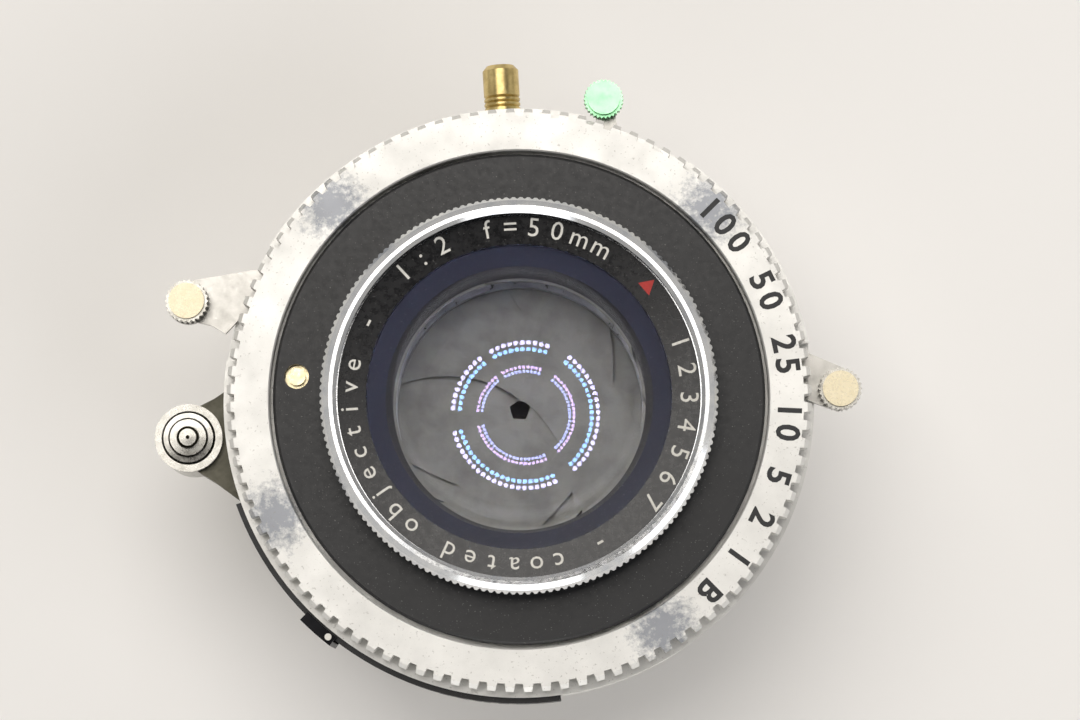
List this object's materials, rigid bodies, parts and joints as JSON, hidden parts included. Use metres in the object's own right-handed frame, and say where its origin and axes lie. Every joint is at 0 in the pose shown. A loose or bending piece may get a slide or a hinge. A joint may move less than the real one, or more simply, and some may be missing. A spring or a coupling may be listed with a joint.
{
  "type": "enlarger lens",
  "caption": "Short fast lens in a leaf shutter, with a toothed speed ring, a stopped-down iris, side levers and a flash socket, threaded at the back for a lens board.",
  "frame": {"origin": "on the optical axis at the rear seat of the shutter case, the face that lies on the lens board", "axes": "+Z along the optical axis towards the front glass, +Y towards the flash socket, +X towards the cocking lever"},
  "size_m": [0.0582, 0.0531, 0.029],
  "materials": {
    "black_lacquer": "semi-matt black lacquer",
    "satin_silver": "bead-blasted satin silver",
    "chrome_rim": "bright chrome",
    "black_anodised": "matt black anodised",
    "blade_steel": "blued blade steel",
    "plate_steel": "brushed steel",
    "brass": "turned brass",
    "nickel_knob": "warm nickel plate",
    "green_anodised": "green anodised aluminium",
    "socket_insulator": "dark phenolic",
    "coated_glass": "polished glass with blue-violet coating"
  },
  "bodies": {
    "case": {"shutter_housing": "satin_silver", "aperture_scale_plate": "black_lacquer", "blade_base_plate": "plate_steel", "blade_pivot_studs": "plate_steel", "mechanism_plate": "plate_steel", "plate_screws": "plate_steel", "arbor_posts": "plate_steel", "train_bridge": "brass", "cover_plate": "black_lacquer", "cover_latch": "brass", "front_cell_barrel": "black_anodised", "front_rim_ring": "chrome_rim", "name_ring": "black_lacquer", "front_spacer_ring": "black_lacquer", "front_element": "coated_glass", "front_doublet_crown": "coated_glass", "front_doublet_flint": "coated_glass", "rear_cell_barrel": "black_anodised", "rear_doublet_flint": "coated_glass", "rear_doublet_crown": "coated_glass", "rear_spacer_ring": "black_anodised", "rear_element": "coated_glass", "rear_retaining_ring": "black_anodised", "sync_socket_barrel": "brass", "sync_socket_insulator": "socket_insulator", "sync_socket_pin": "brass", "sync_contact_leaf": "brass", "release_bracket": "black_lacquer", "release_button_guide": "black_lacquer", "main_spring": "plate_steel", "button_spring": "plate_steel"},
    "speed_dial": {"speed_ring": "satin_silver", "speed_cam_ring": "plate_steel"},
    "aperture_ring": {"iris_drive_ring": "plate_steel", "aperture_pointer": "plate_steel"},
    "shutter_ring": {"shutter_sector_ring": "plate_steel"},
    "cocking_lever": {"cocking_ring": "plate_steel", "cocking_knob": "nickel_knob"},
    "release_arm": {"release_lever": "plate_steel", "release_lever_knob": "nickel_knob"},
    "timer_arm": {"selftimer_lever": "plate_steel", "selftimer_knob": "green_anodised"},
    "button": {"release_button": "nickel_knob"},
    "iris_leaf_1": {"iris_blade_1": "blade_steel"},
    "shutter_leaf_1": {"shutter_blade_1": "blade_steel"},
    "iris_leaf_2": {"iris_blade_2": "blade_steel"},
    "shutter_leaf_2": {"shutter_blade_2": "blade_steel"},
    "iris_leaf_3": {"iris_blade_3": "blade_steel"},
    "shutter_leaf_3": {"shutter_blade_3": "blade_steel"},
    "iris_leaf_4": {"iris_blade_4": "blade_steel"},
    "shutter_leaf_4": {"shutter_blade_4": "blade_steel"},
    "iris_leaf_5": {"iris_blade_5": "blade_steel"},
    "shutter_leaf_5": {"shutter_blade_5": "blade_steel"},
    "retard_sector_arbor": {"retard_sector": "brass"},
    "retard_wheel_arbor": {"retard_wheel": "brass"},
    "retard_escape_wheel_arbor": {"retard_escape_wheel": "brass"},
    "retard_pallet_arbor": {"retard_pallet": "brass"},
    "timer_wheel_arbor": {"timer_wheel": "brass"},
    "timer_escape_wheel_arbor": {"timer_escape_wheel": "brass"},
    "timer_pallet_arbor": {"timer_pallet": "brass"}
  },
  "joints": [
    {"name": "speed_dial_turn", "type": "hinge", "parent": "case", "child": "speed_dial", "pos_m": [0, 0, 0], "axis": [0, 0, 1], "range_deg": [-46.4, 46.4]},
    {"name": "aperture_turn", "type": "hinge", "parent": "case", "child": "aperture_ring", "pos_m": [0, 0, 0], "axis": [0, 0, 1], "range_deg": [0, 40]},
    {"name": "shutter_open_close", "type": "hinge", "parent": "case", "child": "shutter_ring", "pos_m": [0, 0, 0], "axis": [0, 0, 1], "range_deg": [0, 24]},
    {"name": "cocking_turn", "type": "hinge", "parent": "case", "child": "cocking_lever", "pos_m": [0, 0, 0], "axis": [0, 0, 1], "range_deg": [-42, 0], "stiffness_Nm_per_rad": 0.004},
    {"name": "release_turn", "type": "hinge", "parent": "case", "child": "release_arm", "pos_m": [-0.0175, 0.0085, 0], "axis": [0, 0, 1], "range_deg": [0, 9], "stiffness_Nm_per_rad": 0.01},
    {"name": "selftimer_turn", "type": "hinge", "parent": "case", "child": "timer_arm", "pos_m": [0.00826, 0.01554, 0], "axis": [0, 0, 1], "range_deg": [-36, 0]},
    {"name": "button_press", "type": "slide", "parent": "case", "child": "button", "axis": [0, 0, -1], "range_m": [0, 0.0022], "stiffness_N_per_m": 150, "deforming": ["button_spring"]},
    {"name": "iris_leaf_1_swing", "type": "hinge", "parent": "case", "child": "iris_leaf_1", "pos_m": [0.01427, 0.00464, 0], "axis": [0, 0, 1], "range_deg": [-31.3, 0.1]},
    {"name": "shutter_leaf_1_swing", "type": "hinge", "parent": "case", "child": "shutter_leaf_1", "pos_m": [0.00882, 0.01214, 0], "axis": [0, 0, 1], "range_deg": [-0.1, 34.6]},
    {"name": "iris_leaf_2_swing", "type": "hinge", "parent": "case", "child": "iris_leaf_2", "pos_m": [0, 0.015, 0], "axis": [0, 0, 1], "range_deg": [-31.3, 0.1]},
    {"name": "shutter_leaf_2_swing", "type": "hinge", "parent": "case", "child": "shutter_leaf_2", "pos_m": [-0.00882, 0.01214, 0], "axis": [0, 0, 1], "range_deg": [-0.1, 34.6]},
    {"name": "iris_leaf_3_swing", "type": "hinge", "parent": "case", "child": "iris_leaf_3", "pos_m": [-0.01427, 0.00464, 0], "axis": [0, 0, 1], "range_deg": [-31.3, 0.1]},
    {"name": "shutter_leaf_3_swing", "type": "hinge", "parent": "case", "child": "shutter_leaf_3", "pos_m": [-0.01427, -0.00464, 0], "axis": [0, 0, 1], "range_deg": [-0.1, 34.6]},
    {"name": "iris_leaf_4_swing", "type": "hinge", "parent": "case", "child": "iris_leaf_4", "pos_m": [-0.00882, -0.01214, 0], "axis": [0, 0, 1], "range_deg": [-31.3, 0.1]},
    {"name": "shutter_leaf_4_swing", "type": "hinge", "parent": "case", "child": "shutter_leaf_4", "pos_m": [0, -0.015, 0], "axis": [0, 0, 1], "range_deg": [-0.1, 34.6]},
    {"name": "iris_leaf_5_swing", "type": "hinge", "parent": "case", "child": "iris_leaf_5", "pos_m": [0.00882, -0.01214, 0], "axis": [0, 0, 1], "range_deg": [-31.3, 0.1]},
    {"name": "shutter_leaf_5_swing", "type": "hinge", "parent": "case", "child": "shutter_leaf_5", "pos_m": [0.01427, -0.00464, 0], "axis": [0, 0, 1], "range_deg": [-0.1, 34.6]},
    {"name": "retard_sector_turn", "type": "hinge", "parent": "case", "child": "retard_sector_arbor", "pos_m": [-0.00544, -0.01674, 0], "axis": [0, 0, 1], "range_deg": [-20, 0]},
    {"name": "retard_wheel_turn", "type": "hinge", "parent": "case", "child": "retard_wheel_arbor", "pos_m": [0.00172, -0.01752, 0], "axis": [0, 0, 1], "range_deg": [-1, 101]},
    {"name": "retard_escape_turn", "type": "hinge", "parent": "case", "child": "retard_escape_wheel_arbor", "pos_m": [0.00639, -0.0164, 0], "axis": [0, 0, 1], "range_deg": [-301, 1]},
    {"name": "retard_pallet_rock", "type": "hinge", "parent": "case", "child": "retard_pallet_arbor", "pos_m": [0.00959, -0.01476, 0], "axis": [0, 0, 1], "range_deg": [-3, 3]},
    {"name": "timer_wheel_turn", "type": "hinge", "parent": "case", "child": "timer_wheel_arbor", "pos_m": [0.01379, 0.01093, 0], "axis": [0, 0, 1], "range_deg": [-1, 181]},
    {"name": "timer_escape_turn", "type": "hinge", "parent": "case", "child": "timer_escape_wheel_arbor", "pos_m": [0.01623, 0.0068, 0], "axis": [0, 0, 1], "range_deg": [-541, 1]},
    {"name": "timer_pallet_rock", "type": "hinge", "parent": "case", "child": "timer_pallet_arbor", "pos_m": [0.01728, 0.00335, 0], "axis": [0, 0, 1], "range_deg": [-3, 3]}
  ],
  "couplings": [
    {"joint": "iris_leaf_1_swing", "follows": "aperture_turn", "ratio": -0.78},
    {"joint": "shutter_leaf_1_swing", "follows": "shutter_open_close", "ratio": 1.4375},
    {"joint": "iris_leaf_2_swing", "follows": "aperture_turn", "ratio": -0.78},
    {"joint": "shutter_leaf_2_swing", "follows": "shutter_open_close", "ratio": 1.4375},
    {"joint": "iris_leaf_3_swing", "follows": "aperture_turn", "ratio": -0.78},
    {"joint": "shutter_leaf_3_swing", "follows": "shutter_open_close", "ratio": 1.4375},
    {"joint": "iris_leaf_4_swing", "follows": "aperture_turn", "ratio": -0.78},
    {"joint": "shutter_leaf_4_swing", "follows": "shutter_open_close", "ratio": 1.4375},
    {"joint": "iris_leaf_5_swing", "follows": "aperture_turn", "ratio": -0.78},
    {"joint": "shutter_leaf_5_swing", "follows": "shutter_open_close", "ratio": 1.4375},
    {"joint": "retard_wheel_turn", "follows": "retard_sector_turn", "ratio": -5},
    {"joint": "retard_escape_turn", "follows": "retard_sector_turn", "ratio": 15},
    {"joint": "timer_wheel_turn", "follows": "selftimer_turn", "ratio": -5},
    {"joint": "timer_escape_turn", "follows": "selftimer_turn", "ratio": 15}
  ]
}
